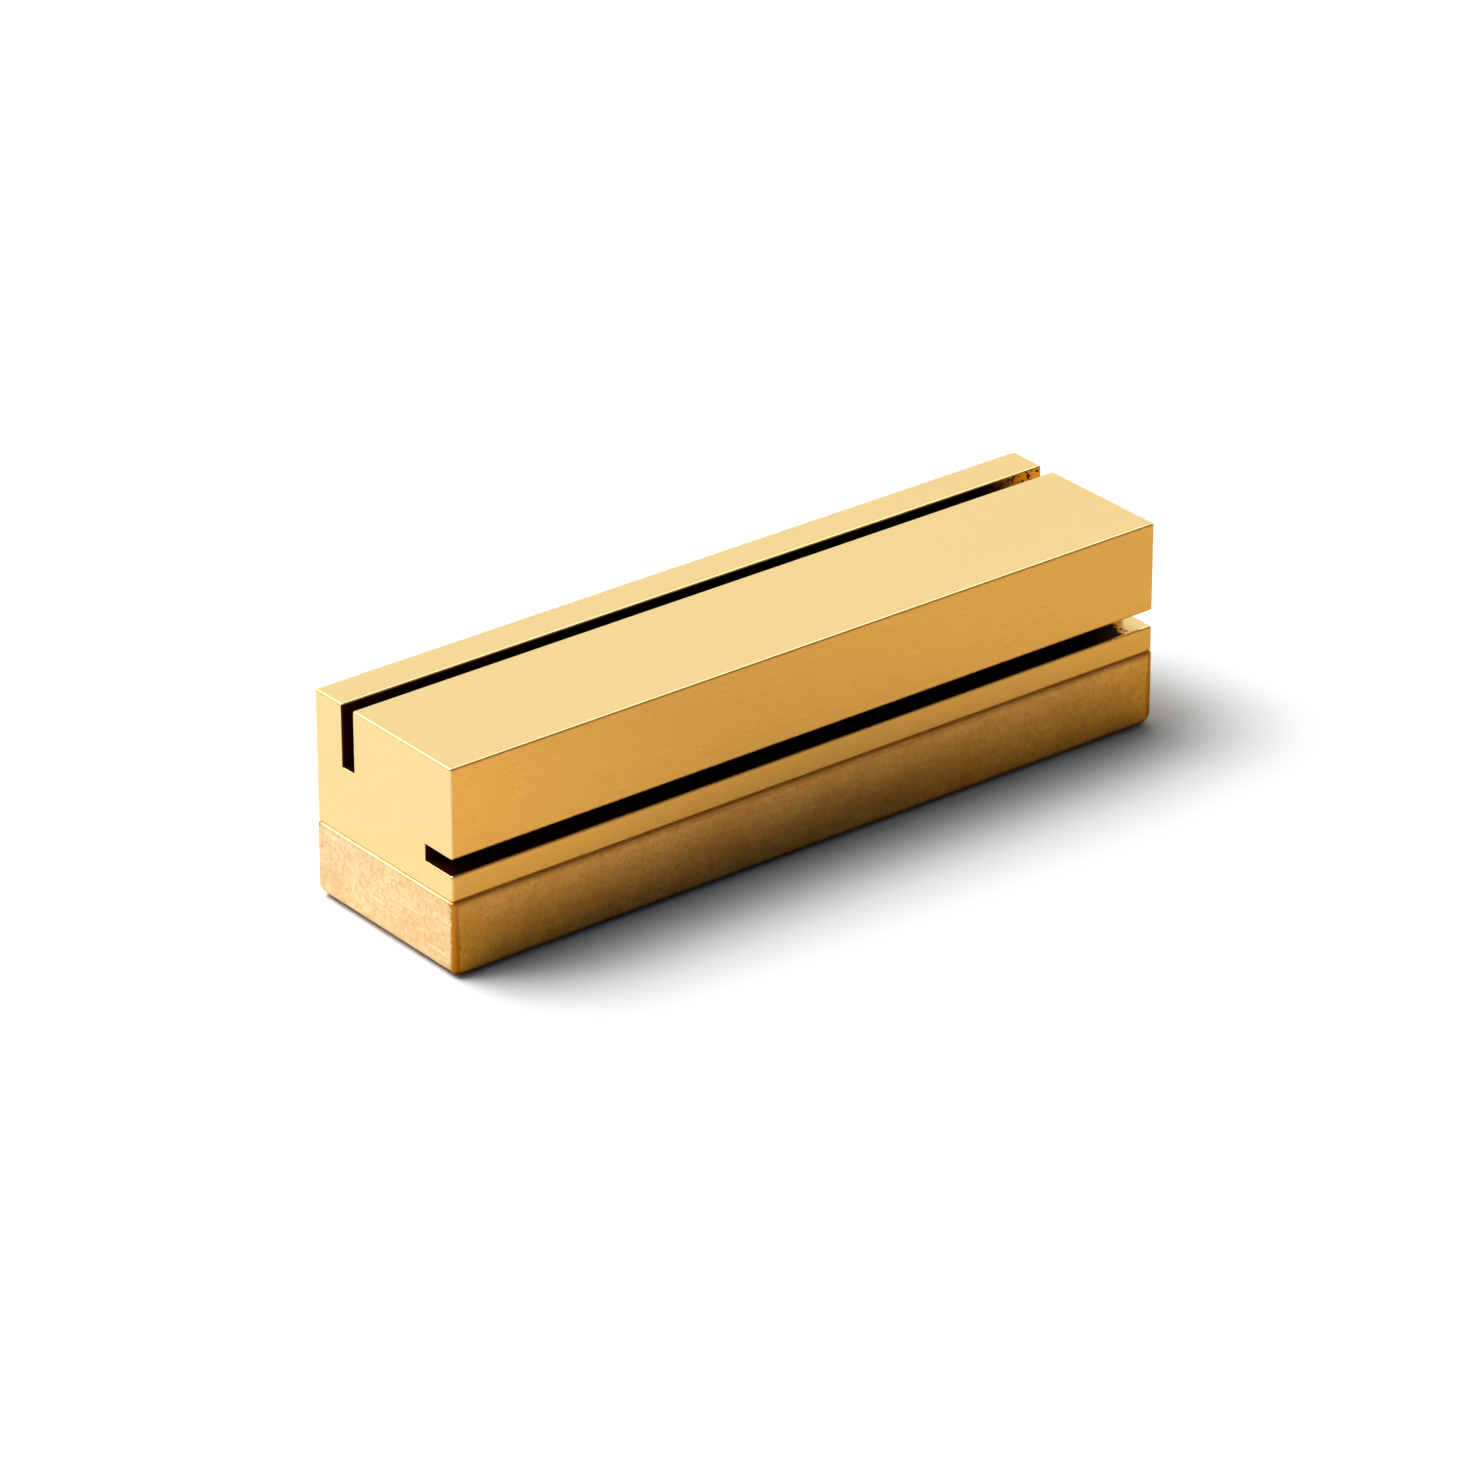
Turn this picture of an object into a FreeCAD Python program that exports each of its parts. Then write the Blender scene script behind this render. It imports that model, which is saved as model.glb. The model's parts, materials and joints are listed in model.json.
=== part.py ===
import FreeCAD, Part
import math
import os

# A brass paperweight: a finely finished block with two stationery slots, screwed
# and dowelled to a raw brass base that stands on a thin felt pad.
# Millimetres. +X runs along the bar, +Y from the front face to the back, +Z up.
# The origin is the middle of the footprint, on the surface that the pad rests on.

# Footprint of the slotted block
length = 100.0
width = 25.0

# Slotted block
block_height = 16.25
block_edge_radius = 0.3

# Upright slot near the back, open at the top and at both ends
rear_slot_width = 2.0
rear_slot_depth = 7.7
rear_strip = 5.0

# Level slot in the front face, open at both ends
front_slot_height = 2.0
front_slot_depth = 5.0
front_lip = 3.2

# Base block, which stands a hair proud of the block above all the way round
base_height = 9.15
base_proud = 0.15
base_side_radius = 0.6
base_end_foot_radius = 1.4
base_top_radius = 0.4

# Felt pad and the recess that holds it
pad_thickness = 1.0
pad_recess_depth = 0.9
pad_recess_rim = 3.0
pad_recess_corner = 2.5
pad_side_gap = 0.2

# Socket-head screws, M4 x 10, driven up from below
screw_from_end = 20.0
screw_diameter = 4.0
screw_length = 10.0
screw_tip_break = 0.4
screw_hole_gap = 0.15
screw_thread_gap = 0.05
screw_thread_spare = 1.0
head_diameter = 7.0
head_height = 4.0
head_break = 0.3
head_gap = 0.25
head_sunk = 0.3
socket_across_flats = 3.0
socket_depth = 2.0

# Dowel pins, 3 x 8, that keep the two blocks flush
dowel_from_end = 8.0
dowel_diameter = 3.0
dowel_length = 8.0
dowel_break = 0.3
dowel_gap = 0.02
dowel_end_gap = 0.2

# Levels, from the resting surface up
base_bottom_z = pad_thickness - pad_recess_depth
joint_z = base_bottom_z + base_height
top_z = joint_z + block_height
rear_slot_floor_z = top_z - rear_slot_depth
front_slot_z = joint_z + front_lip
head_bottom_z = pad_thickness + head_sunk
head_seat_z = head_bottom_z + head_height
screw_tip_z = head_seat_z + screw_length
dowel_bottom_z = joint_z - dowel_length / 2
dowel_top_z = joint_z + dowel_length / 2

# Places along and across the bar
half_length = length / 2
front_y = -width / 2
back_y = width / 2
rear_slot_back_y = back_y - rear_strip
rear_slot_front_y = rear_slot_back_y - rear_slot_width
front_slot_floor_y = front_y + front_slot_depth
fastener_y = (front_slot_floor_y + rear_slot_front_y) / 2
screw_xs = [side * (half_length - screw_from_end) for side in (-1, 1)]
dowel_xs = [side * (half_length - dowel_from_end) for side in (-1, 1)]

# How far a cutting shape starts outside the face it cuts
overrun = 1.0

# Two places closer than this are the same place
hair = 0.001


def rod(diameter, x, z0, z1):
    """An upright cylinder on the fastener line."""
    return Part.makeCylinder(diameter / 2, z1 - z0, FreeCAD.Vector(x, fastener_y, z0))


def rim_edges(shape, height):
    """The edges of a shape that lie level at one height."""
    return [
        edge
        for edge in shape.Edges
        if all(abs(corner.Z - height) < hair for corner in edge.Vertexes)
        and abs(edge.CenterOfMass.z - height) < hair
    ]


def on_skin(edge):
    """Whether an edge lies on the slotted block's outside, not down inside a slot."""
    middle = edge.CenterOfMass
    to_end = abs(abs(middle.x) - half_length)
    to_side = abs(abs(middle.y) - back_y)
    to_level = min(abs(middle.z - joint_z), abs(middle.z - top_z))
    return min(to_end, to_side, to_level) < hair


def rounded_plate(plate_length, plate_width, corner, z0, z1):
    """A plate centred on the footprint, with its four upright edges rounded."""
    low = FreeCAD.Vector(-plate_length / 2, -plate_width / 2, z0)
    plate = Part.makeBox(plate_length, plate_width, z1 - z0, low)
    upright = [edge for edge in plate.Edges if edge.tangentAt(edge.FirstParameter).z ** 2 > 0.5]
    return plate.makeFillet(corner, upright)


def slotted_block():
    slot_top_z = front_slot_z + front_slot_height
    outline = [
        (front_y, joint_z),
        (back_y, joint_z),
        (back_y, top_z),
        (rear_slot_back_y, top_z),
        (rear_slot_back_y, rear_slot_floor_z),
        (rear_slot_front_y, rear_slot_floor_z),
        (rear_slot_front_y, top_z),
        (front_y, top_z),
        (front_y, slot_top_z),
        (front_slot_floor_y, slot_top_z),
        (front_slot_floor_y, front_slot_z),
        (front_y, front_slot_z),
    ]
    corners = [FreeCAD.Vector(-half_length, y, z) for y, z in outline]
    face = Part.Face(Part.makePolygon(corners + corners[:1]))
    block = face.extrude(FreeCAD.Vector(length, 0, 0))
    block = block.makeFillet(block_edge_radius, [edge for edge in block.Edges if on_skin(edge)])

    thread_diameter = screw_diameter + 2 * screw_thread_gap
    for x in screw_xs:
        hole = rod(thread_diameter, x, joint_z - overrun, screw_tip_z + screw_thread_spare)
        block = block.cut(hole)
    hole_diameter = dowel_diameter + 2 * dowel_gap
    for x in dowel_xs:
        hole = rod(hole_diameter, x, joint_z - overrun, dowel_top_z + dowel_end_gap)
        block = block.cut(hole)
    return block


def base_block():
    low = FreeCAD.Vector(-half_length - base_proud, front_y - base_proud, base_bottom_z)
    base = Part.makeBox(length + 2 * base_proud, width + 2 * base_proud, base_height, low)
    foot = rim_edges(base, base_bottom_z)
    end_foot = [edge for edge in foot if abs(edge.CenterOfMass.y) < hair]
    base = base.makeFillet(base_end_foot_radius, end_foot)
    side_y = back_y + base_proud
    round_sides = [
        edge
        for edge in base.Edges
        if abs(abs(edge.CenterOfMass.y) - side_y) < hair and edge.CenterOfMass.z < joint_z - hair
    ]
    base = base.makeFillet(base_side_radius, round_sides)
    base = base.makeFillet(base_top_radius, rim_edges(base, joint_z))

    recess_length = length - 2 * pad_recess_rim
    recess_width = width - 2 * pad_recess_rim
    recess = rounded_plate(
        recess_length, recess_width, pad_recess_corner, base_bottom_z - overrun, pad_thickness
    )
    base = base.cut(recess)

    counterbore_diameter = head_diameter + 2 * head_gap
    clearance_diameter = screw_diameter + 2 * screw_hole_gap
    for x in screw_xs:
        base = base.cut(rod(counterbore_diameter, x, base_bottom_z, head_seat_z))
        base = base.cut(rod(clearance_diameter, x, base_bottom_z, joint_z + overrun))
    hole_diameter = dowel_diameter + 2 * dowel_gap
    for x in dowel_xs:
        base = base.cut(rod(hole_diameter, x, dowel_bottom_z - dowel_end_gap, joint_z + overrun))
    return base


def felt_pad():
    pad_length = length - 2 * (pad_recess_rim + pad_side_gap)
    pad_width = width - 2 * (pad_recess_rim + pad_side_gap)
    return rounded_plate(pad_length, pad_width, pad_recess_corner - pad_side_gap, 0, pad_thickness)


def clamp_screw(x):
    head = rod(head_diameter, x, head_bottom_z, head_seat_z)
    head = head.makeChamfer(head_break, rim_edges(head, head_bottom_z))
    shank = rod(screw_diameter, x, head_seat_z - overrun, screw_tip_z)
    shank = shank.makeChamfer(screw_tip_break, rim_edges(shank, screw_tip_z))

    corner_radius = socket_across_flats / 2 / math.cos(math.pi / 6)
    hexagon = []
    for corner in range(7):
        angle = corner * math.pi / 3
        y = fastener_y + corner_radius * math.sin(angle)
        hexagon.append(FreeCAD.Vector(x + corner_radius * math.cos(angle), y, head_bottom_z - overrun))
    depth = FreeCAD.Vector(0, 0, overrun + socket_depth)
    socket = Part.Face(Part.makePolygon(hexagon)).extrude(depth)
    return head.fuse(shank).cut(socket).removeSplitter()


def dowel_pin(x):
    pin = rod(dowel_diameter, x, dowel_bottom_z, dowel_top_z)
    rims = rim_edges(pin, dowel_bottom_z) + rim_edges(pin, dowel_top_z)
    return pin.makeChamfer(dowel_break, rims)


nodes = {
    "slotted_block": slotted_block(),
    "base_block": base_block(),
    "felt_pad": felt_pad(),
    "clamp_screws": Part.makeCompound([clamp_screw(x) for x in screw_xs]),
    "dowel_pins": Part.makeCompound([dowel_pin(x) for x in dowel_xs]),
}

os.makedirs("parts", exist_ok=True)
for name, shape in nodes.items():
    shape.exportStep(f"parts/{name}.step")
    print(name, len(shape.Solids), "solids", round(shape.Volume, 2), "mm3", shape.isValid())
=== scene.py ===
import json
import math

import bmesh
import bpy
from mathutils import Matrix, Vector, noise


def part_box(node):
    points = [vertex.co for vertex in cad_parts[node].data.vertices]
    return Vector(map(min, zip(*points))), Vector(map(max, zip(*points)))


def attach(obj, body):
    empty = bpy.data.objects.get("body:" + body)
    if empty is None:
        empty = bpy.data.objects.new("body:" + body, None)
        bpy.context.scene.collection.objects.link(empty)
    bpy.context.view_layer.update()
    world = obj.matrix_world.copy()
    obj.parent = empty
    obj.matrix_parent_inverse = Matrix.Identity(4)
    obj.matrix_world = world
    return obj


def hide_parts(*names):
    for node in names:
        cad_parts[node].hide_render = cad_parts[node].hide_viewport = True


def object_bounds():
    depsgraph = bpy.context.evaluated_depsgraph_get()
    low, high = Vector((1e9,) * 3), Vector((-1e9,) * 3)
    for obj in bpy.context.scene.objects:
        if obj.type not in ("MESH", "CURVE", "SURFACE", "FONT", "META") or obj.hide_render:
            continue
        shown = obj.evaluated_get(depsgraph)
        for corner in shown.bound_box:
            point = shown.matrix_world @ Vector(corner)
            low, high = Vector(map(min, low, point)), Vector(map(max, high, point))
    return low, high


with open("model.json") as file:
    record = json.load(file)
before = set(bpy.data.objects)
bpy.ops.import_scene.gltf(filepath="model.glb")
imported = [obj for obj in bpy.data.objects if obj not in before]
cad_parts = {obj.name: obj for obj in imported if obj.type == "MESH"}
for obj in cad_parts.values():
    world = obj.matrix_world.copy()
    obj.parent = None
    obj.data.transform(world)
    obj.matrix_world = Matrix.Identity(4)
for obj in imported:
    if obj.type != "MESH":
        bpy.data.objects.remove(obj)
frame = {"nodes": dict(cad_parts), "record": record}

# A brass paperweight: a satin block with two slots, on a raw brass base with a felt underside.
# Everything is in metres. +X runs along the bar, -Y is the front, +Z is up.

MM = 0.001
cad_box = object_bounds()


# ---------------------------------------------------------------- shader helpers

class Nodes:
    """Short calls for the shader nodes used here."""

    def __init__(self, tree):
        self.tree = tree

    def node(self, kind, **settings):
        made = self.tree.nodes.new(kind)
        for key, value in settings.items():
            setattr(made, key, value)
        return made

    def join(self, source, target):
        self.tree.links.new(source, target)

    def put(self, socket, value):
        """Link a socket, or set it when the value is a plain number or colour."""
        if isinstance(value, bpy.types.NodeSocket):
            self.join(value, socket)
        else:
            socket.default_value = value

    def math(self, operation, first, second=0.0, clamp=False):
        made = self.node("ShaderNodeMath", operation=operation, use_clamp=clamp)
        self.put(made.inputs[0], first)
        self.put(made.inputs[1], second)
        return made.outputs[0]

    def along_axes(self, vector):
        """The x, y and z parts of a vector."""
        made = self.node("ShaderNodeSeparateXYZ")
        self.join(vector, made.inputs[0])
        return [made.outputs[axis] for axis in "XYZ"]

    def grey(self, value):
        made = self.node("ShaderNodeCombineColor")
        for channel in range(3):
            self.join(value, made.inputs[channel])
        return made.outputs[0]

    def noise(self, place, detail=3.0, rough=0.5, distortion=0.0):
        made = self.node("ShaderNodeTexNoise")
        self.join(place, made.inputs["Vector"])
        made.inputs["Scale"].default_value = 1.0
        made.inputs["Detail"].default_value = detail
        made.inputs["Roughness"].default_value = rough
        made.inputs["Distortion"].default_value = distortion
        return made.outputs["Fac"]

    def spread(self, value, low, high, to_low=0.0, to_high=1.0):
        """Stretch the part of a value between low and high over a new range."""
        made = self.node("ShaderNodeMapRange", interpolation_type="SMOOTHSTEP")
        self.join(value, made.inputs["Value"])
        made.inputs["From Min"].default_value = low
        made.inputs["From Max"].default_value = high
        made.inputs["To Min"].default_value = to_low
        made.inputs["To Max"].default_value = to_high
        return made.outputs["Result"]

    def blend(self, amount, first, second, how="MIX"):
        made = self.node("ShaderNodeMix", data_type="RGBA", blend_type=how)
        self.put(made.inputs["Factor"], amount)
        self.put(made.inputs["A"], first)
        self.put(made.inputs["B"], second)
        return made.outputs["Result"]

    def choose(self, amount, first, second):
        made = self.node("ShaderNodeMix", data_type="FLOAT")
        self.put(made.inputs["Factor"], amount)
        self.put(made.inputs["A"], first)
        self.put(made.inputs["B"], second)
        return made.outputs["Result"]

    def bump(self, height, depth):
        made = self.node("ShaderNodeBump")
        self.join(height, made.inputs["Height"])
        made.inputs["Distance"].default_value = depth
        made.inputs["Strength"].default_value = 1.0
        return made.outputs["Normal"]


class Shader(Nodes):
    """A node material under construction."""

    def __init__(self, name):
        self.material = bpy.data.materials.new(name)
        self.material.use_nodes = True
        super().__init__(self.material.node_tree)
        self.surface = self.tree.nodes["Principled BSDF"]
        self.place = self.node("ShaderNodeTexCoord").outputs["Object"]

    def stretched(self, scale, turn=(0, 0, 0)):
        """Object coordinates, scaled so that a noise has this many cells per metre along each axis."""
        made = self.node("ShaderNodeMapping")
        self.join(self.place, made.inputs["Vector"])
        made.inputs["Scale"].default_value = scale
        made.inputs["Rotation"].default_value = turn
        return made.outputs["Vector"]


def colour(red, green, blue):
    return (red, green, blue, 1.0)


# ---------------------------------------------------------------- finishes

BRASS = colour(0.965, 0.715, 0.315)
BRASS_DEEP = colour(0.932, 0.672, 0.285)
PORE = colour(0.5, 0.3, 0.1)
# Painted shade inside the slots, and a painted amber reflection inside the rear slot
SLOT_SHADE = colour(0.018, 0.004, 0.001)
SLOT_SHADE_RED = colour(0.06, 0.01, 0.002)
SLOT_AMBER_REFLECTION = colour(0.88, 0.47, 0.05)

RAW_YELLOW = colour(0.99, 0.75, 0.4)
RAW_ROSY = colour(0.985, 0.68, 0.39)
RAW_SCRATCH = colour(1.0, 0.88, 0.55)
# Painted shade for the base's seam, and painted reflection and shade for its upright edges and foot
SEAM_SHADE_BROWN = colour(0.35, 0.16, 0.03)
PAINTED_EDGE_BROWN = colour(0.62, 0.29, 0.03)

# The block's two slots: the frame's mounts give their middles, and these are their widths and depths
SLOT_WIDTH = 2 * MM
REAR_SLOT_DEPTH = 7.7 * MM
FRONT_SLOT_DEPTH = 5 * MM
mouths = {mount["name"]: Vector(mount["pos_m"]) for mount in frame["record"]["mounts"]}
block_low, block_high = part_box("slotted_block")
base_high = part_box("base_block")[1]
half_length = block_high.x

# How far past a slot's wall its painted shade and amber reflection are taken, on a flat wall and up the
# rear slot's rounded rim
WALL_SLACK = 0.05 * MM
RIM_SLACK = 0.15 * MM


def within(s, value, middle, reach):
    """1 where a value is nearer than reach to its middle."""
    return s.math("LESS_THAN", s.math("ABSOLUTE", s.math("SUBTRACT", value, middle)), reach)


def painted_slot_shade(s):
    """Two masks. The first is 1 where shade is painted inside both slots, and falls to 0 at the +X end,
    where light gets in. The second is 1 inside the whole rear slot, where an amber reflection is painted."""
    x, y, z = s.along_axes(s.place)
    top = block_high.z
    front = block_low.y
    across = within(s, y, mouths["rear_slot"].y, SLOT_WIDTH / 2 + RIM_SLACK)
    rear = s.math("MULTIPLY", across, s.spread(z, top - 0.2 * MM, top - 0.08 * MM, 1, 0))
    rear = s.math("MULTIPLY", rear, s.math("GREATER_THAN", z, top - REAR_SLOT_DEPTH - WALL_SLACK))
    across = within(s, z, mouths["front_slot"].z, SLOT_WIDTH / 2 + WALL_SLACK)
    level = s.math("MULTIPLY", across, s.spread(y, front + 0.26 * MM, front + 0.36 * MM))
    level = s.math("MULTIPLY", level, s.math("LESS_THAN", y, front + FRONT_SLOT_DEPTH + WALL_SLACK))

    # The painted shade fades out raggedly towards the +X end, where light gets in; dark specks stay in the
    # rear slot
    ragged = s.noise(s.stretched((900, 900, 900)), detail=3)
    chips = s.noise(s.stretched((1700, 1700, 1700)), detail=2)
    ragged_x = s.math("ADD", x, s.spread(ragged, 0.3, 0.7, -0.5 * MM, 0.5 * MM))
    rear_shade = s.spread(ragged_x, half_length - 8 * MM, half_length - 2.4 * MM, 1, 0)
    rear_shade = s.math("MAXIMUM", rear_shade, s.spread(chips, 0.52, 0.6, 0, 0.95))
    level_shade = s.spread(ragged_x, half_length - 3.9 * MM, half_length - 3.3 * MM, 1, 0)
    rear_part = s.math("MULTIPLY", rear, rear_shade)
    level_part = s.math("MULTIPLY", level, level_shade)
    return s.math("ADD", rear_part, level_part, clamp=True), rear


def satin_brass():
    """Finely brushed brass: short, faint grain along each face and a few dark pores, with painted shade and
    a painted amber reflection inside the slots.
    """
    s = Shader("satin_brass")
    facing = s.along_axes(s.node("ShaderNodeNewGeometry").outputs["Normal"])
    on_end = s.math("GREATER_THAN", s.math("ABSOLUTE", facing[0]), 0.7)
    on_top = s.math("GREATER_THAN", facing[2], 0.7)

    along = s.noise(s.stretched((500, 5000, 5000), turn=(0, math.radians(14), 0)), detail=4, rough=0.62)
    across = s.noise(s.stretched((5000, 550, 5000), turn=(math.radians(16), 0, 0)), detail=4, rough=0.62)
    grain = s.choose(on_end, along, across)
    grain = s.choose(on_top, grain, s.math("MULTIPLY", grain, 0.3))
    pores = s.noise(s.stretched((2600, 2600, 2600)), detail=2, rough=0.5)

    skin = s.blend(s.spread(grain, 0.38, 0.72), BRASS, BRASS_DEEP)
    skin = s.blend(s.spread(pores, 0.7, 0.8, 0, 0.4), skin, PORE)
    dark, rear = painted_slot_shade(s)
    # Painted amber reflection over the whole inside of the rear slot
    skin = s.blend(rear, skin, SLOT_AMBER_REFLECTION)
    # Painted shade inside both slots, redder towards the -X end
    to_right = s.spread(s.along_axes(s.place)[0], -half_length, -0.3 * half_length)
    slot_shade_tone = s.blend(to_right, SLOT_SHADE_RED, SLOT_SHADE)
    skin = s.blend(dark, skin, slot_shade_tone)
    s.join(skin, s.surface.inputs["Base Color"])
    s.surface.inputs["Metallic"].default_value = 1.0
    polish = s.spread(grain, 0.1, 0.75, 0.26, 0.31)
    s.join(s.choose(dark, polish, 0.6), s.surface.inputs["Roughness"])
    s.join(s.bump(grain, 0.0008 * MM), s.surface.inputs["Normal"])
    return s.material


def edge_reflection_and_foot_shade(s, ragged):
    """1 on the base's upright edges and along its foot, in a ragged band: a painted reflection on the
    rounded upright edges and painted shade along the foot.
    """
    x, y, z = s.along_axes(s.place)
    jitter = s.spread(ragged, 0.35, 0.65, -0.15 * MM, 0.15 * MM)
    to_end = s.math("ADD", s.math("SUBTRACT", base_high.x, s.math("ABSOLUTE", x)), jitter)
    to_side = s.math("ADD", s.math("SUBTRACT", base_high.y, s.math("ABSOLUTE", y)), jitter)
    near_end = s.spread(to_end, 0.7 * MM, 1.0 * MM, 1, 0)
    near_side = s.spread(to_side, 0.3 * MM, 0.5 * MM, 1, 0)
    foot = s.spread(s.math("ADD", z, jitter), 0.3 * MM, 0.9 * MM, 1, 0)
    return s.math("MAXIMUM", s.math("MULTIPLY", near_end, near_side), foot)


def seam_painted_shade(s):
    """1 along the base's front and back top edges, where shade is painted in the seam."""
    y, z = s.along_axes(s.place)[1:]
    side = base_high.y
    seam = base_high.z
    on_side = s.spread(s.math("ABSOLUTE", y), side - 1.05 * MM, side - 0.45 * MM)
    return s.math("MULTIPLY", on_side, s.spread(z, seam - 0.9 * MM, seam - 0.1 * MM))


def raw_brass():
    """Unfinished brass: a dull skin, clouded and mottled brown, with grain, pits and a few scratches."""
    s = Shader("raw_brass")
    cloud = s.noise(s.stretched((130, 130, 130)), detail=3, rough=0.6, distortion=0.4)
    tone = s.noise(s.stretched((260, 260, 260)), detail=4, rough=0.6, distortion=0.3)
    mottle = s.noise(s.stretched((1100, 1100, 1000)), detail=5, rough=0.72, distortion=0.3)
    slanted = s.stretched((2300, 2300, 1500), turn=(0.3, 0.5, 0))
    fibres = s.noise(slanted, detail=4, rough=0.7, distortion=0.6)
    speck = s.noise(s.stretched((1900, 1900, 1900)), detail=1.5, rough=0.5)
    pits = s.noise(s.stretched((3000, 3000, 3000)), detail=2, rough=0.6)
    flecks = s.noise(s.stretched((1000, 1000, 800)), detail=2, rough=0.5, distortion=1.3)
    lines = s.noise(s.stretched((260, 100, 4200), turn=(0.04, 0, 0)), detail=1, rough=0.4)
    sparse = s.noise(s.stretched((120, 120, 120)), detail=1)

    # Each layer: its noise, where that starts to show and where it is full, its strength and its colour
    layers = [
        (cloud, 0.44, 0.58, 0.6, colour(0.88, 0.58, 0.25)),
        (mottle, 0.44, 0.62, 0.65, colour(0.88, 0.56, 0.24)),
        (fibres, 0.5, 0.64, 0.5, colour(0.72, 0.43, 0.14)),
        (flecks, 0.58, 0.68, 0.35, colour(1.0, 0.87, 0.6)),
        (speck, 0.65, 0.72, 0.45, colour(1.0, 0.93, 0.66)),
        (pits, 0.62, 0.7, 0.4, colour(0.4, 0.23, 0.07)),
    ]
    skin = s.blend(s.spread(tone, 0.36, 0.64), RAW_YELLOW, RAW_ROSY)
    for pattern, low, high, strength, tint in layers:
        skin = s.blend(s.spread(pattern, low, high, 0, strength), skin, tint)
    # Painted shade along the seam at the base's front and back top edges
    skin = s.blend(s.math("MULTIPLY", seam_painted_shade(s), 0.75), skin, SEAM_SHADE_BROWN)
    scratch = s.math("MULTIPLY", s.spread(lines, 0.64, 0.69), s.spread(sparse, 0.46, 0.54))
    facing = s.along_axes(s.node("ShaderNodeNewGeometry").outputs["Normal"])
    most_on_ends = s.spread(s.math("ABSOLUTE", facing[0]), 0.6, 0.8, 0.2, 0.8)
    skin = s.blend(s.math("MULTIPLY", scratch, most_on_ends), skin, RAW_SCRATCH)
    # Painted reflection on the rounded upright edges and painted shade along the foot
    skin = s.blend(s.math("MULTIPLY", edge_reflection_and_foot_shade(s, fibres), 0.85), skin, PAINTED_EDGE_BROWN)

    s.join(skin, s.surface.inputs["Base Color"])
    s.join(s.spread(mottle, 0.3, 0.7, 0.33, 0.45), s.surface.inputs["Roughness"])
    s.surface.inputs["Metallic"].default_value = 1.0
    raised = s.math("ADD", mottle, s.math("MULTIPLY", fibres, 0.6))
    skin_height = s.math("SUBTRACT", raised, s.spread(pits, 0.66, 0.76))
    s.join(s.bump(skin_height, 0.035 * MM), s.surface.inputs["Normal"])
    return s.material


def machined_steel(name, tint, roughness):
    """Turned or ground steel: fine rings round the upright axis and a slightly uneven tint."""
    s = Shader(name)
    turned = s.noise(s.stretched((900, 900, 9000)), detail=3)
    stain = s.noise(s.stretched((600, 600, 600)), detail=3)
    dull = colour(*(0.72 * part for part in tint[:3]))
    s.join(s.blend(s.spread(stain, 0.35, 0.7), tint, dull), s.surface.inputs["Base Color"])
    s.join(s.spread(turned, 0.3, 0.7, roughness - 0.06, roughness + 0.06), s.surface.inputs["Roughness"])
    s.surface.inputs["Metallic"].default_value = 1.0
    s.join(s.bump(turned, 0.01 * MM), s.surface.inputs["Normal"])
    return s.material


def wool_felt():
    """Pressed wool: dark matted fibres with a few light ones, and no shine."""
    s = Shader("wool_felt")
    mat = s.noise(s.stretched((1200, 1200, 1200)), detail=6, rough=0.75, distortion=1.5)
    fibres = s.noise(s.stretched((900, 6000, 6000)), detail=3, rough=0.6, distortion=2.0)
    crossing = s.noise(s.stretched((6000, 900, 6000)), detail=3, rough=0.6, distortion=2.0)
    skin = s.blend(mat, colour(0.03, 0.026, 0.022), colour(0.11, 0.092, 0.078))
    skin = s.blend(s.spread(fibres, 0.6, 0.72, 0, 0.6), skin, colour(0.2, 0.17, 0.145))
    skin = s.blend(s.spread(crossing, 0.6, 0.72, 0, 0.6), skin, colour(0.17, 0.145, 0.12))
    s.join(skin, s.surface.inputs["Base Color"])
    s.surface.inputs["Roughness"].default_value = 0.95
    s.surface.inputs["Specular IOR Level"].default_value = 0.15
    s.surface.inputs["Sheen Weight"].default_value = 0.25
    s.join(s.bump(s.math("ADD", mat, fibres), 0.12 * MM), s.surface.inputs["Normal"])
    return s.material


def finish(piece, material):
    piece.data.materials.clear()
    piece.data.materials.append(material)


# ---------------------------------------------------------------- pieces

FELT_CORNER = 2.3 * MM
FELT_CELL = 0.5 * MM
FELT_FUZZ = 0.05 * MM
FELT_RIM = 0.12 * MM
NAP_CELL = 1.1 * MM

# Two faces that turn more than this from each other, in radians, meet at a rim
RIM_TURN = 1.2


def round_corner(place, half_size, corner):
    """Draw a point of a square-cornered grid in, so that the grid's corners follow an arc."""
    inner = Vector((half_size.x - corner, half_size.y - corner))
    over = Vector((abs(place.x) - inner.x, abs(place.y) - inner.y))
    if over.x <= 0 or over.y <= 0:
        return
    over *= max(over.x, over.y) / over.length
    place.x = math.copysign(inner.x + over.x, place.x)
    place.y = math.copysign(inner.y + over.y, place.y)


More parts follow.
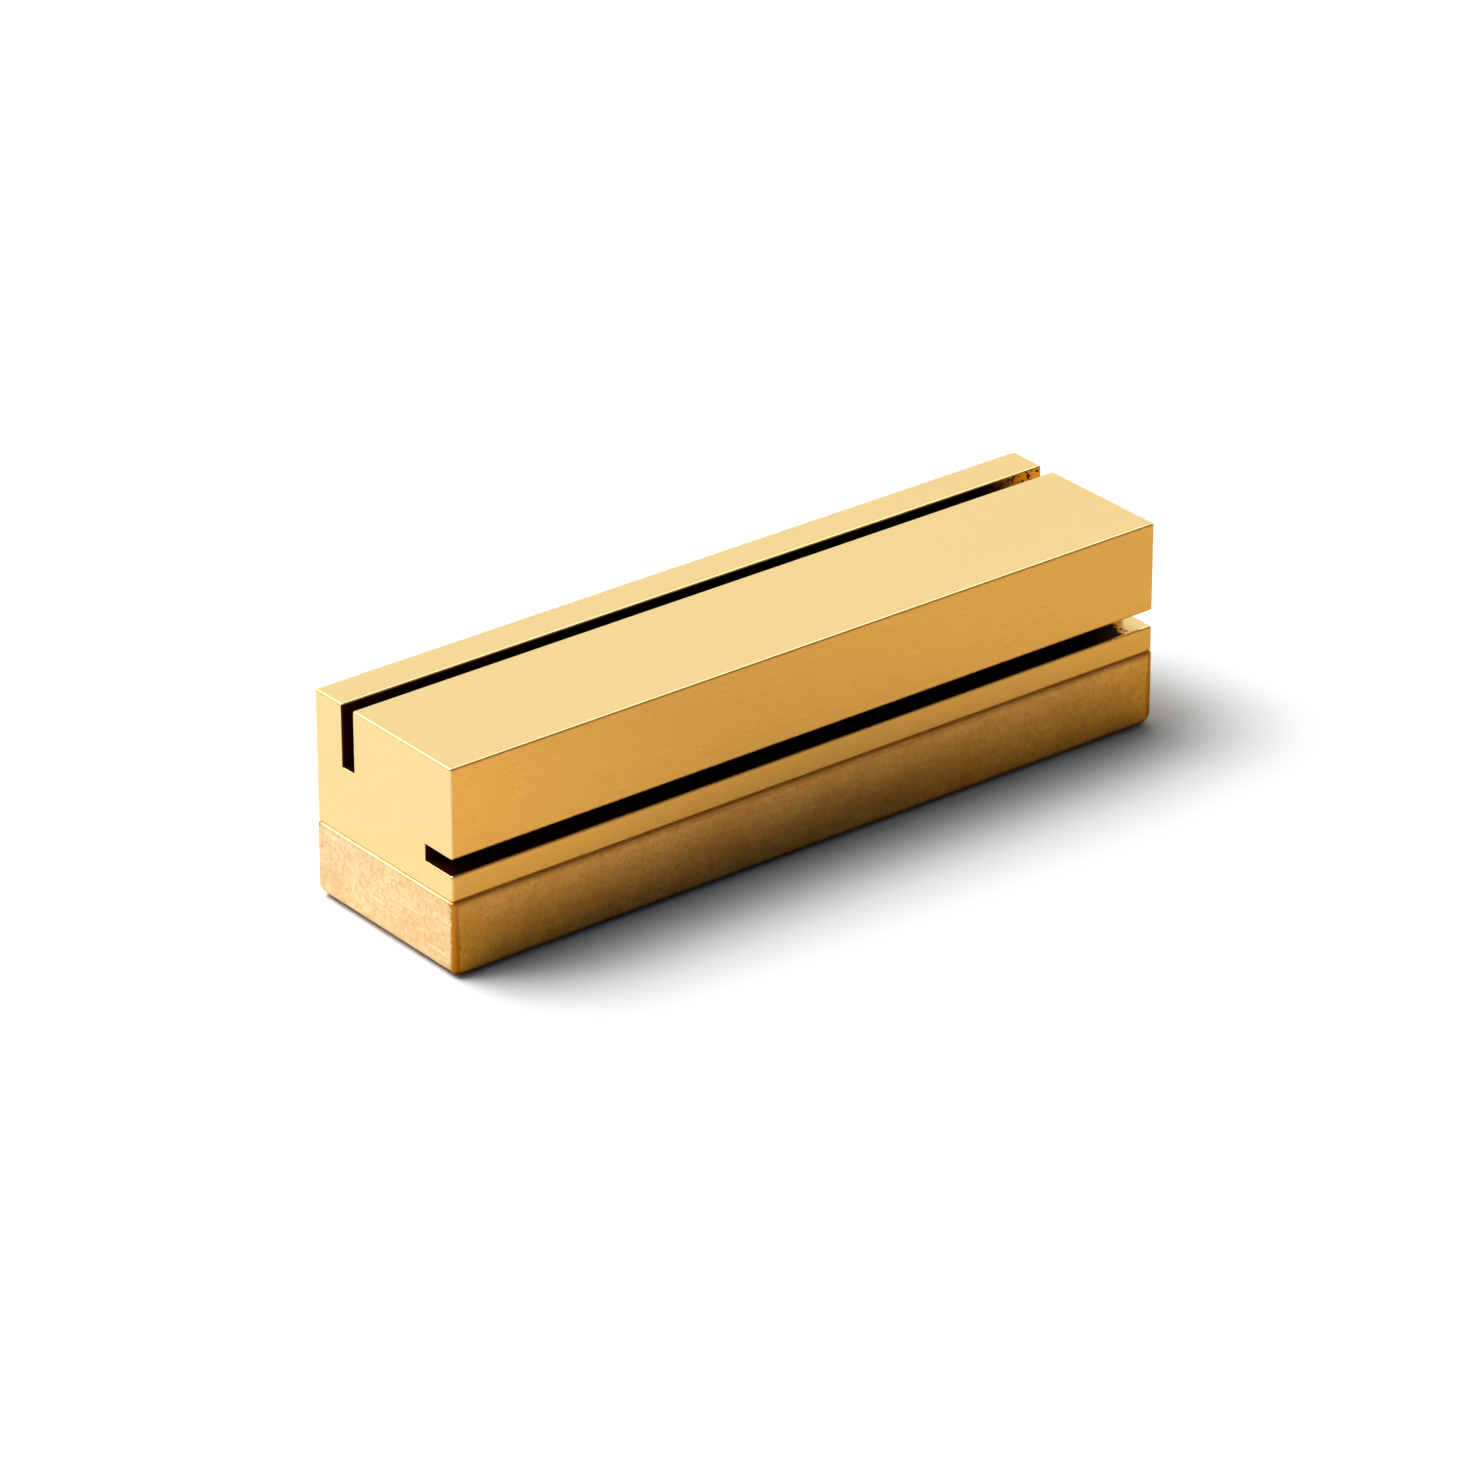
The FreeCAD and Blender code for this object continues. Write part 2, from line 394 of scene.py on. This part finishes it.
def felt_underside():
    """A pressed felt plate with rounded corners, a softened rim and a slightly uneven nap."""
    low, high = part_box("felt_pad")
    half_size = (high - low) / 2
    mesh = bmesh.new()
    across = [round(2 * half_size[axis] / FELT_CELL) for axis in (0, 1)]
    bmesh.ops.create_grid(mesh, x_segments=across[0], y_segments=across[1], size=1)
    bmesh.ops.scale(mesh, vec=(half_size.x, half_size.y, 1), verts=mesh.verts)
    for vertex in mesh.verts:
        round_corner(vertex.co, half_size, FELT_CORNER)
    sheet_faces = list(mesh.faces)
    raised = bmesh.ops.extrude_face_region(mesh, geom=sheet_faces)["geom"]
    raised = [part for part in raised if isinstance(part, bmesh.types.BMVert)]
    bmesh.ops.translate(mesh, vec=(0, 0, 2 * half_size.z), verts=raised)
    bmesh.ops.recalc_face_normals(mesh, faces=mesh.faces)
    bmesh.ops.translate(mesh, vec=((low.x + high.x) / 2, (low.y + high.y) / 2, low.z), verts=mesh.verts)

    rim = [edge for edge in mesh.edges if len(edge.link_faces) == 2 and edge.calc_face_angle() > RIM_TURN]
    rim = [edge for edge in rim if abs(edge.verts[0].co.z - edge.verts[1].co.z) < FELT_RIM]
    bmesh.ops.bevel(
        mesh, geom=rim, offset=FELT_RIM, segments=2, profile=0.5, affect="EDGES", material=-1
    )
    mesh.normal_update()
    for vertex in mesh.verts:
        nap = noise.fractal(vertex.co / NAP_CELL, 0.6, 2.1, 4)
        vertex.co -= vertex.normal * FELT_FUZZ * min(1.0, max(0.0, 0.5 + nap))
    for face in mesh.faces:
        face.smooth = True

    data = bpy.data.meshes.new("felt_underside")
    mesh.to_mesh(data)
    mesh.free()
    piece = bpy.data.objects.new("felt_underside", data)
    bpy.context.scene.collection.objects.link(piece)
    finish(piece, wool_felt())
    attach(piece, "root")
    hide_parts("felt_pad")


nodes = frame["nodes"]
finish(nodes["slotted_block"], satin_brass())
finish(nodes["base_block"], raw_brass())
finish(nodes["clamp_screws"], machined_steel("black_steel", colour(0.08, 0.08, 0.085), 0.4))
finish(nodes["dowel_pins"], machined_steel("ground_steel", colour(0.62, 0.63, 0.64), 0.25))
felt_underside()


# ---------------------------------------------------------------- floor, light and camera

def flat_card(name, size, material):
    """A square level card at the floor's height, facing up."""
    mesh = bmesh.new()
    bmesh.ops.create_grid(mesh, x_segments=1, y_segments=1, size=size / 2)
    data = bpy.data.meshes.new(name)
    mesh.to_mesh(data)
    mesh.free()
    card = bpy.data.objects.new(name, data)
    bpy.context.scene.collection.objects.link(card)
    finish(card, material)
    return card


def seen_only_in_reflections(card):
    card.visible_camera = False
    card.visible_diffuse = False
    card.visible_shadow = False


def matt(s):
    """Take all shine off a card's material."""
    s.surface.inputs["Roughness"].default_value = 1.0
    s.surface.inputs["Specular IOR Level"].default_value = 0.0
    return s.material


def paper_white():
    s = Shader("paper_white")
    s.surface.inputs["Base Color"].default_value = colour(0.9, 0.9, 0.9)
    return matt(s)


def warm_card():
    """Painted reflection and shade: white at the back and the left, the colour of brass in front, dimmest
    before the bar's middle.
    """
    s = Shader("warm_card")
    x, y = s.along_axes(s.place)[:2]
    in_front = s.spread(y, -12.5 * MM, -9.5 * MM, 1, 0)
    beside = s.spread(x, -72 * MM, -60 * MM)
    close_by = s.spread(y, -28 * MM, -21 * MM)
    at_foot = s.spread(y, -20 * MM, -15 * MM, 1, 1.35)

    # Painted shade: dimmer to the middle and back up to the right end, then dimmest along a slanting band
    # close by; painted light makes it brighter by the foot
    dim = s.spread(x, -30 * MM, 12 * MM, 0.97, 0.78)
    dim = s.math("MULTIPLY", dim, s.spread(x, 12 * MM, 55 * MM, 1, 1.1))
    slantwise = s.math("ADD", s.math("ADD", x, 54 * MM), s.math("MULTIPLY", y, 2.7))
    band = s.spread(s.math("ABSOLUTE", slantwise), 8 * MM, 50 * MM, 0.86, 0.24)
    dim = s.math("MULTIPLY", dim, s.math("SUBTRACT", 1.0, s.math("MULTIPLY", close_by, band)))
    dim = s.math("MULTIPLY", dim, at_foot)

    # Painted reflection: brass-coloured in front, browner close by
    warm = s.blend(close_by, colour(0.735, 0.49, 0.215), colour(0.69, 0.41, 0.02))
    warm = s.blend(1.0, warm, s.grey(dim), how="MULTIPLY")
    skin = s.blend(s.math("MULTIPLY", in_front, beside), colour(0.75, 0.75, 0.75), warm)
    s.join(skin, s.surface.inputs["Base Color"])
    return matt(s)


def glowing(name, tint, strength):
    """Light that shows in the brass, but that the brass doesn't throw on to the floor."""
    s = Shader(name)
    bounces = s.node("ShaderNodeLightPath").outputs["Diffuse Depth"]
    s.surface.inputs["Base Color"].default_value = colour(0, 0, 0)
    s.surface.inputs["Roughness"].default_value = 1.0
    s.surface.inputs["Emission Color"].default_value = tint
    s.join(s.spread(bounces, 0, 1, strength, 0), s.surface.inputs["Emission Strength"])
    return s.material


# The point inside the bar that the lights and cards are turned to
LIT_POINT = (0, 0, 10 * MM)


def aimed(thing, place, target):
    thing.location = place
    thing.rotation_euler = (Vector(target) - Vector(place)).to_track_quat("-Z", "Y").to_euler()


def soft_box(name, direction, distance, size, power, tint):
    light = bpy.data.lights.new(name, "AREA")
    light.shape = "SQUARE"
    light.size = size
    light.energy = power
    light.color = tint
    lamp = bpy.data.objects.new(name, light)
    bpy.context.scene.collection.objects.link(lamp)
    aimed(lamp, Vector(direction).normalized() * distance, LIT_POINT)


def screen(name, direction, distance, size, strength, tint=colour(1, 1, 1), roll=0):
    """A glowing card round the bar that only the brass sees. Its size is given across and up."""
    card = flat_card(name, 1.0, glowing(name, tint, strength))
    aimed(card, Vector(direction).normalized() * distance, LIT_POINT)
    card.rotation_euler.rotate_axis("Z", math.radians(roll))
    card.scale = (size[0], size[1], 1)
    seen_only_in_reflections(card)


# The camera sees the pale floor, a hair below the one that the brass reflects
FLOOR_SIZE = 6.0
floor = flat_card("floor", FLOOR_SIZE, paper_white())
floor.location.z = -0.1 * MM
floor.visible_glossy = False
seen_only_in_reflections(flat_card("reflected_floor", FLOOR_SIZE, warm_card()))

soft_box("key", (-0.36, 0.40, 1.0), distance=1.2, size=0.8, power=18.1, tint=(0.98, 1.0, 1.02))

# Two cards light the rounded edges, and a narrow brown one draws the thin line below the top's front edge
screen("top_card", (0.55, 0.22, 0.81), distance=0.6, size=(0.3, 0.3), strength=2.2)
screen("back_card", (-0.22, 0.70, 0.64), distance=0.6, size=(0.3, 0.3), strength=3.0)
brown = colour(0.27, 0.11, 0.0)
screen("brown_card", (0.55, -0.68, 0.48), distance=0.8, size=(0.17, 0.86), strength=1, tint=brown, roll=-21)

# The room's left and front, which the top shows when it is seen from behind or from the right:
# the way to each wall, and how strongly it glows
WALL_DISTANCE = 1.8
WALL_SIZE = (2.2, 1.6)
WALL_TINT = colour(1.0, 0.86, 0.5)
WALLS = {
    "left_wall": ((-1.0, 0.3, 0.5), 0.6),
    "front_left_wall": ((-0.8, -0.8, 0.5), 0.6),
    "front_wall": ((0.1, -1.0, 0.5), 0.3),
    "front_right_wall": ((1.0, -0.6, 0.4), 0.45),
}
for wall, (direction, strength) in WALLS.items():
    screen(wall, direction, WALL_DISTANCE, WALL_SIZE, strength, tint=WALL_TINT)


def studio_walls():
    """A white room behind, warmer on its right, and a dim one in front."""
    world = bpy.data.worlds.new("studio")
    bpy.context.scene.world = world
    world.use_nodes = True
    s = Nodes(world.node_tree)
    x, y = s.along_axes(s.node("ShaderNodeTexCoord").outputs["Generated"])[:2]
    behind = s.blend(s.spread(x, 0.48, 0.75), colour(0.91, 0.91, 0.91), colour(0.87, 0.81, 0.62))
    around = s.blend(s.spread(y, -0.1, 0.6), colour(0.045, 0.06, 0.075), behind)
    backdrop = s.tree.nodes["Background"]
    s.join(around, backdrop.inputs["Color"])
    backdrop.inputs["Strength"].default_value = 1.0


studio_walls()

# The camera looks at a point a little off the bar's middle
AZIMUTH = math.radians(-38.3)
ELEVATION = math.radians(26.88)
DISTANCE = 0.8523
LENS = 184.5
SENSOR_WIDTH = 36.0
AIM_OFFSET = Vector((-1.5, -0.9, -3.3)) * MM

aim = Vector(((cad_box[0][0] + cad_box[1][0]) / 2, 0, cad_box[1][2] / 2)) + AIM_OFFSET
toward = Vector((
    math.sin(AZIMUTH) * math.cos(ELEVATION),
    -math.cos(AZIMUTH) * math.cos(ELEVATION),
    math.sin(ELEVATION),
))
lens = bpy.data.cameras.new("camera")
lens.lens = LENS
lens.sensor_width = SENSOR_WIDTH
camera = bpy.data.objects.new("camera", lens)
bpy.context.scene.collection.objects.link(camera)
aimed(camera, aim + toward * DISTANCE, aim)
bpy.context.scene.camera = camera
bpy.context.scene.view_settings.view_transform = "Standard"
